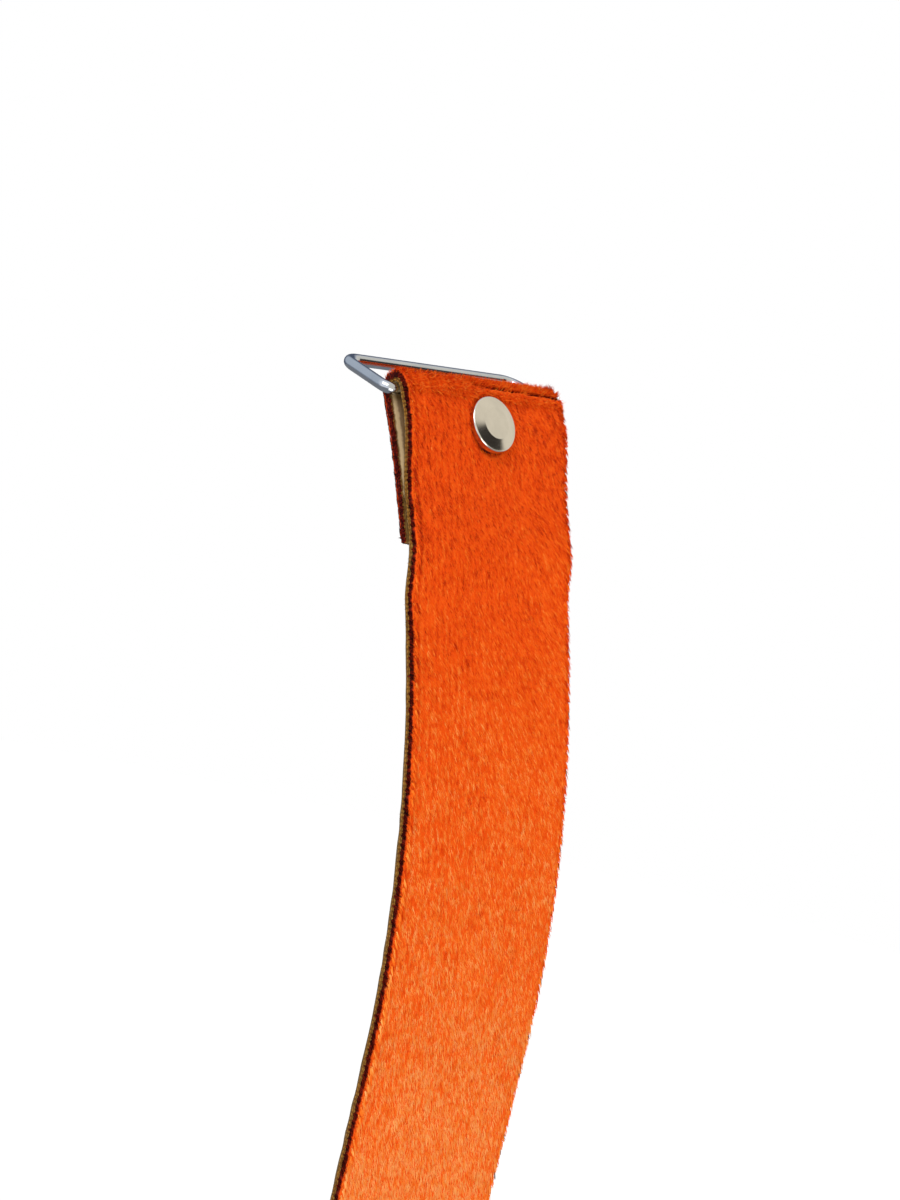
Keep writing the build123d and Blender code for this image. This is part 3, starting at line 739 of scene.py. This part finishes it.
def pile_fibres(name, low, high, per_mm2, length, width, materials, seed):
    """The pile's upper half over a stretch of the fabric.

    On the ski side of the fold it is pressed flat, and near its cuts it takes root colours, a painted
    shadow.
    """
    rng = np.random.default_rng(seed)
    x, u = scatter(low, high, per_mm2, rng)
    count = len(x)
    root, along, out = fabric_frame(u, CORE + PILE * root_share(x, u))
    direction = nap_direction(x, u, along, out, rng)
    across = local_vectors(along, out, np.ones(count), rng.normal(0, 0.5, count), rng.normal(0, 0.3, count))
    lengths = length * (1 + 0.16 * rng.normal(0, 1, count)).clip(0.55, 1.5) * (1 - 0.35 * behind_fold(u))
    widths = width * (0.75 + 0.5 * rng.random(count))
    slots = pile_slots(x, u, rng)
    return spikes(name, to_xyz(x, root), direction, across, lengths, widths, materials, slots)


def fuzz(name, count, low, high, materials, seed):
    """Loose curved fibres that stand out of the crest of the fold and, fewer, along the cut edges."""
    rng = np.random.default_rng(seed)
    on_crest = rng.random(count) < 0.55
    toward_tip = high - (high - low) * rng.random(count) ** 1.7
    u = np.where(on_crest, WRAP_U + WRAP_LENGTH * rng.uniform(-0.25, 0.85, count), toward_tip)
    side = np.where(rng.random(count) < 0.5, -1.0, 1.0)
    x = np.where(on_crest, rng.uniform(-HALF, HALF, count), side * (HALF - 0.15 - 0.5 * rng.random(count)))
    keep = (np.hypot(x, u - RIVET_U) > CAP_RADIUS + 0.4) & (rng.random(count) > parting(x, u))
    keep &= on_crest | (u < BACK_U)
    x, u, on_crest, side = x[keep], u[keep], on_crest[keep], side[keep]
    n = len(x)
    root, along, out = fabric_frame(u, CORE + PILE * rng.uniform(0.45, 0.75, n))
    spread = np.where(on_crest, rng.normal(0, 0.3, n), side * rng.uniform(0.0, 0.5, n))
    lean = np.where(on_crest, rng.normal(-0.35, 0.35, n), rng.normal(-0.9, 0.3, n))
    direction = local_vectors(along, out, spread, lean, rng.uniform(0.45, 1.0, n))
    bend = local_vectors(along, out, spread * 1.3, lean * 1.7, rng.uniform(0.1, 0.7, n))
    across = local_vectors(along, out, np.ones(n), rng.normal(0, 0.4, n), rng.normal(0, 0.4, n))
    lengths = np.where(on_crest, rng.uniform(0.9, 1.8, n), rng.uniform(0.7, 1.3, n))
    slots = np.clip(np.round(rng.normal(3.4, 1.0, n)), 0, len(FIBRE_SHADES) - 1)
    widths = rng.uniform(0.10, 0.18, n)
    return spikes(name, to_xyz(x, root), direction, across, lengths, widths, materials, slots, bend)


def root_tufts(name, low, high, per_tuft, materials, seed):
    """Fibres in dark root colours along both cut edges, one tuft at each weft row: painted shade on the
    pile's cut sides.

    Round the rod the rows open up and stand closer here to cover it, and where the pile is folded against
    the ski the roots are pressed back over the backing's edge, a painted shadow over it.
    """
    rng = np.random.default_rng(seed)
    lying = np.arange(low, min(high, WRAP_U - 0.5), TUFT_PITCH)
    folded_rows = np.arange(WRAP_U - 0.5, high, TUFT_PITCH * 0.42)
    rows = np.concatenate([lying, folded_rows])
    sides = np.repeat([-1.0, 1.0], len(rows))
    rows = np.tile(rows + rng.normal(0, 0.14, len(rows)), 2)
    row = np.repeat(rows, per_tuft)
    side = np.repeat(sides, per_tuft)
    n = len(row)
    size = 1 + 0.28 * edge_noise(side, row, TUFT_PITCH * 1.1, 91)
    folded = behind_fold(row)
    u = np.minimum(row + rng.normal(0, 0.36, n) * size, FABRIC_LENGTH - 0.15)
    x = side * (HALF - 0.20 + 0.26 * rng.random(n) + 0.24 * folded)
    in_middle = np.exp(-(((u - row) / 0.35) ** 2))
    low_on_edge = 0.42 * in_middle * size * (1 - folded) + 0.70 * folded
    depth = CORE - 0.05 - low_on_edge * rng.random(n) + (0.70 - 0.35 * folded) * rng.random(n)
    root, along, out = fabric_frame(u, depth)
    spread = side * rng.uniform(-0.05, 0.30, n) * (1 - 0.4 * folded)
    rise = 1.0 - folded * rng.uniform(0.9, 2.1, n)
    direction = local_vectors(along, out, spread, rng.normal(-0.45, 0.25, n) * (1 - 0.5 * folded), rise)
    across = local_vectors(along, out, 0.3 * np.ones(n), np.ones(n), np.zeros(n))
    # Painted shade: root colours.
    slots = rng.choice(len(materials), n, p=[0.26, 0.42, 0.32])
    lengths = rng.uniform(0.75, 1.30, n) * size * (1 - 0.25 * folded)
    widths = rng.uniform(0.18, 0.32, n)
    return spikes(name, to_xyz(x, root), direction, across, lengths, widths, materials, slots)


def cut_end(name, count, materials, seed):
    """Fibres in dark root colours over the cut end of the fold-back, combed down and in against the front
    layer: a painted shadow.
    """
    rng = np.random.default_rng(seed)
    x = rng.uniform(-HALF + 0.12, HALF - 0.12, count)
    depth = CORE + rng.uniform(-0.75, 0.9, count)
    u = FABRIC_LENGTH - rng.uniform(0.05, 0.35, count)
    root, along, out = fabric_frame(u, depth)
    clump = noise(x, x * 0, 1.3, 1.0, 95)
    inwards = rng.uniform(-1.2, 0.1, count)
    direction = local_vectors(along, out, rng.normal(0, 0.25, count), 0.75 + 0.35 * clump, inwards)
    across = local_vectors(along, out, np.ones(count), np.zeros(count), 0.3 * np.ones(count))
    # Painted shadow: dark root colours.
    slots = rng.choice(len(materials), count, p=[0.3, 0.42, 0.28])
    lengths = rng.uniform(0.55, 0.95, count) * (1 + 0.25 * clump)
    widths = rng.uniform(0.18, 0.32, count)
    return spikes(name, to_xyz(x, root), direction, across, lengths, widths, materials, slots)


def yarn_ends(name, materials, seed):
    """Cut ends of the backing's yarns: short stubs out of both edges, and points between the tufts."""
    rng = np.random.default_rng(seed)
    weft = np.arange(CLAMP_U + 1.0, FABRIC_LENGTH - 0.2, YARN_PITCH)
    per_end = 5
    row = np.tile(np.repeat(weft, per_end), 2)
    n = len(row)
    side = np.repeat([-1.0, 1.0], n // 2)
    u = row + rng.normal(0, 0.16, n)
    u = np.minimum(u + 0.35 * edge_noise(side, row, 2.3, 42), FABRIC_LENGTH - 0.2)
    depth = MEMBRANE + WEAVE * rng.uniform(-0.22, 1.08, n)
    up = (depth - MEMBRANE) / WEAVE
    x = side * (HALF - 0.42)
    root, along, out = fabric_frame(u, depth)
    outwards, rise = side * rng.uniform(0.6, 1.1, n), rng.normal(0.0, 0.2, n) + 0.5 * up
    direction = local_vectors(along, out, outwards, rng.normal(-0.05, 0.42, n), rise)
    across = local_vectors(along, out, np.zeros(n), np.ones(n), rng.normal(0, 0.4, n))
    tone = 0.85 + 0.9 * edge_noise(side, u, 1.4, 96) + rng.normal(0, 0.55, n)
    # Painted shadow: the yarn ends on the fold-back are darker.
    tone = np.where(u > BACK_U, tone - 0.7, tone)
    slots = np.clip(np.round(tone), 0, len(materials) - 1)
    lengths = rng.uniform(0.36, 0.74, n) * np.where(u > BACK_U, 0.75, 1.0)
    widths = rng.uniform(0.16, 0.34, n)
    return spikes(name, to_xyz(x, root), direction, across, lengths, widths, materials, slots)


def build_fabric():
    plush = make_plush(plush_material())
    weave = make_weave(weave_material())
    # Painted shade for the film inside the fold.
    fold_shade = (0.150, 0.075, 0.016)
    dull_tan, tan = (0.27, 0.165, 0.062), (0.62, 0.45, 0.235)
    film = make_film(film_material("membrane_film", dull_tan, tan, 0.42, 1.2, fold_shade))
    dark_amber, amber = (0.15, 0.090, 0.030), (0.22, 0.14, 0.052)
    adhesive = make_adhesive(film_material("adhesive", dark_amber, amber, 0.30, 0.22))

    shades = [fibre_material(name, colour) for name, colour in FIBRE_SHADES.items()]
    roots = [fibre_material(name, colour, 0.08) for name, colour in ROOT_SHADE_COLOURS.items()]
    yarns = [fibre_material(name, colour, 0.12) for name, colour in YARN_SHADES.items()]
    # name, from, to, fibres to a square millimetre, their length and their width
    stretches = (
        ("pile_run_1", 0.0, 222.0, 4.8, 1.9, 0.36),
        ("pile_run_2", 222.0, 444.0, 4.8, 1.9, 0.36),
        ("pile_run_3", 444.0, 666.0, 4.8, 1.9, 0.36),
        ("pile_run_4", 666.0, 888.0, 4.8, 1.9, 0.36),
        ("pile_run_5", 888.0, 1110.0, 4.8, 1.9, 0.36),
        ("pile_run_6", 1110.0, NEAR_U + 5, 4.8, 1.9, 0.36),
        ("pile_shovel_low", NEAR_U + 5, SHOVEL_U + 15, 14.0, 1.65, 0.25),
        ("pile_shovel_mid", SHOVEL_U + 15, SHOVEL_U + 84, 15.8, 1.60, 0.24),
        ("pile_shovel_high", SHOVEL_U + 84, WRAP_U - 1.0, 16.5, 1.50, 0.24),
        ("pile_crest", WRAP_U - 1.0, BACK_U + 1.5, 34.0, 1.45, 0.22),
        ("pile_fold_back", BACK_U + 1.5, FABRIC_LENGTH, 15.0, 1.60, 0.25),
    )
    fibres = []
    for seed, (name, low, high, density, length, width) in enumerate(stretches):
        fibres.append(pile_fibres(name, low, high, density, length, width, shades + roots, 100 + seed))
    fibres.append(fuzz("pile_fuzz", 5200, SHOVEL_U - 30, WRAP_U, shades, 201))
    tip_rows = TUFT_START + TUFT_PITCH * math.floor((NEAR_U - TUFT_START) / TUFT_PITCH)
    fibres.append(root_tufts("edge_roots_run", TUFT_START, tip_rows - 0.1, 16, roots, 202))
    fibres.append(root_tufts("edge_roots_tip", tip_rows, FABRIC_LENGTH - 0.4, 34, roots, 204))
    fibres.append(cut_end("fold_back_end", 620, roots, 205))
    ends = yarn_ends("backing_fray", yarns, 203)

    for piece in [plush, weave, film, adhesive, ends, *fibres]:
        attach(piece, "skin")
    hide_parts("pile")
    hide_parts("woven_backing")
    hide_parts("membrane")
    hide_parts("glue_layer")


# ---------------------------------------------------------------- hardware


def finish_cad(node, material, smooth_degrees=32.0, bevel=0.0):
    """A CAD node's own material, with rounded shading and, where it is stamped, softened edges."""
    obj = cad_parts[node]
    obj.data.materials.clear()
    obj.data.materials.append(material)
    obj.data.shade_smooth()
    obj.data.set_sharp_from_angle(angle=math.radians(smooth_degrees))
    if bevel:
        rounding = obj.modifiers.new("soft_edges", "BEVEL")
        rounding.width = bevel * MM
        rounding.segments = 2
        rounding.limit_method = "ANGLE"
        rounding.angle_limit = math.radians(38.0)
        rounding.harden_normals = True


def finish_hardware():
    ring = metal_material("ring_steel", (0.62, 0.66, 0.72), 0.13, (1.0, 9.0, 9.0), (0.5, 14.0, 14.0))
    nickel = metal_material("rivet_nickel", (0.76, 0.72, 0.65), 0.14, (2.0, 2.0, 2.0), (6.0, 0.8, 0.8), 0.04)
    steel = metal_material("tail_steel", (0.56, 0.57, 0.58), 0.30, (5.0, 5.0, 0.35), (9.0, 9.0, 0.12), 0.22)
    alloy = metal_material("cam_alloy", (0.70, 0.71, 0.73), 0.38, (4.0, 4.0, 4.0), (0.4, 8.0, 8.0), 0.25)
    rubber = rubber_material()
    dark_glue, amber = (0.10, 0.050, 0.012), (0.21, 0.11, 0.025)
    glue = film_material("fold_adhesive", dark_glue, amber, 0.30, 0.9, on_fabric=False)
    finish_cad("tip_ring", ring, 50.0)
    for node in ("rivet_front_cap", "rivet_socket", "rivet_post", "rivet_back_cap"):
        finish_cad(node, nickel, 40.0)
    for node in ("tail_plate", "tail_backing_plate", "tail_hook"):
        finish_cad(node, steel, 32.0, 0.18)
    for node in ("tail_rivets", "cam_pin", "cam_pin_clip", "hook_pin"):
        finish_cad(node, steel, 40.0)
    finish_cad("cam_lever", alloy, 32.0, 0.25)
    finish_cad("ladder_strap", rubber, 32.0, 0.2)
    finish_cad("fold_glue", glue, 40.0)


# ---------------------------------------------------------------- camera, light and floor

CAMERA_AIM = (-4.8, 22.4, 90.9)
CAMERA_AZIMUTH = -45.5
CAMERA_ELEVATION = 9.9
CAMERA_ROLL = 13.1
CAMERA_DISTANCE = 533.0
CAMERA_LENS = 78.0
ROOM_LIGHT = 0.72
SOFTBOX_SIZE = 420
FLOOR_BELOW = 60.0
FLOOR_RADIUS = 6000.0


def place_camera():
    a, e, r = (math.radians(v) for v in (CAMERA_AZIMUTH, CAMERA_ELEVATION, CAMERA_ROLL))
    back = Vector((math.sin(a) * math.cos(e), -math.cos(a) * math.cos(e), math.sin(e)))
    level = Vector((math.cos(a), math.sin(a), 0.0))
    upright = back.cross(level)
    right = level * math.cos(r) + upright * math.sin(r)
    data = bpy.data.cameras.new("camera")
    data.lens = CAMERA_LENS
    data.sensor_width = 36.0
    data.clip_start, data.clip_end = 0.01, 60.0
    camera = bpy.data.objects.new("camera", data)
    turn = Matrix((right, back.cross(right), back)).transposed()
    place = (Vector(CAMERA_AIM) + back * CAMERA_DISTANCE) * MM
    camera.matrix_world = Matrix.Translation(place) @ turn.to_4x4()
    bpy.context.scene.collection.objects.link(camera)
    bpy.context.scene.camera = camera


def soft_light(name, place, aim, size, power, colour=(1.0, 1.0, 1.0)):
    """A square softbox, its place and aim in millimetres and its power in watts."""
    data = bpy.data.lights.new(name, "AREA")
    data.size = size * MM
    data.energy = power
    data.color = colour
    light = bpy.data.objects.new(name, data)
    light.location = Vector(place) * MM
    light.rotation_mode = "QUATERNION"
    light.rotation_quaternion = (Vector(aim) - Vector(place)).to_track_quat("-Z", "Y")
    bpy.context.scene.collection.objects.link(light)


def light_room():
    """A white room: even light on matt surfaces. Gloss sees darker walls behind and one dark patch."""
    world = bpy.data.worlds.new("room")
    world.use_nodes = True
    bpy.context.scene.world = world
    room = Tree(world.node_tree)
    background = room.tree.nodes["Background"]
    path = room.add("LightPath")
    place = room.add("TexCoord").outputs["Generated"]

    def towards(direction):
        inputs = {0: place, 1: Vector(direction).normalized()}
        return room.add("VectorMath", inputs, operation="DOT_PRODUCT").outputs["Value"]

    white, beige, dark = (0.95, 0.96, 1.0), (0.82, 0.77, 0.66), (0.035, 0.030, 0.026)
    dark_patch, back, high_behind = (0.50, -0.80, 0.34), (0, 1, 0), (-0.45, 0.6, 0.65)
    black, full = (0.0, 0.0, 0.0), (1.0, 1.0, 1.0)
    front = room.ramp(towards(dark_patch), (0.20, white), (0.60, beige), (0.915, beige), (0.95, dark))
    behind = room.ramp(towards(back), (0.10, black), (0.55, full))
    walls = room.ramp(towards(high_behind), (0.50, (0.09, 0.11, 0.16)), (0.78, (0.52, 0.57, 0.63)))
    gloss = room.mix(behind, front, walls)
    matt = (ROOM_LIGHT, ROOM_LIGHT, ROOM_LIGHT)
    lit = room.mix(path.outputs["Is Glossy Ray"], matt, gloss)
    room.put(room.mix(path.outputs["Is Camera Ray"], lit, full), background.inputs["Color"])
    soft_light("key", (-260, -700, -260), (0, 10, 20), SOFTBOX_SIZE, 2.3, (1.0, 0.97, 0.92))
    soft_light("fill", (-420, -120, 640), (0, 30, 120), SOFTBOX_SIZE, 2.2)


def make_floor():
    """A pale floor, below the hook even when the strap is let out. Seen in gloss it is a mid grey."""
    low = cad_box[0].z / MM - FLOOR_BELOW
    rim = 96
    angles = np.linspace(0, 2 * math.pi, rim, endpoint=False)
    circle = FLOOR_RADIUS * np.stack([np.cos(angles), np.sin(angles)], -1)
    points = np.concatenate([circle, np.full((rim, 1), low)], -1)
    m = Material("pale_floor")
    grain = m.noise(m.object((0.02, 0.02, 0.02)), 4.0)
    in_gloss = m.add("LightPath").outputs["Is Glossy Ray"]
    pale = m.ramp(grain, (0.3, (0.90, 0.90, 0.90)), (0.7, (0.93, 0.93, 0.93)))
    m.set(Base_Color=m.mix(in_gloss, pale, (0.30, 0.31, 0.33)), Roughness=0.8)
    m.set(Emission_Color=(1.0, 1.0, 1.0, 1.0), Emission_Strength=m.between(in_gloss, 0.40, 0.0))
    floor = mesh_piece("floor", points, [np.arange(rim)[None, :]], [m.material])


build_fabric()
finish_hardware()
make_floor()
light_room()
place_camera()
bpy.context.scene.view_settings.view_transform = "Standard"
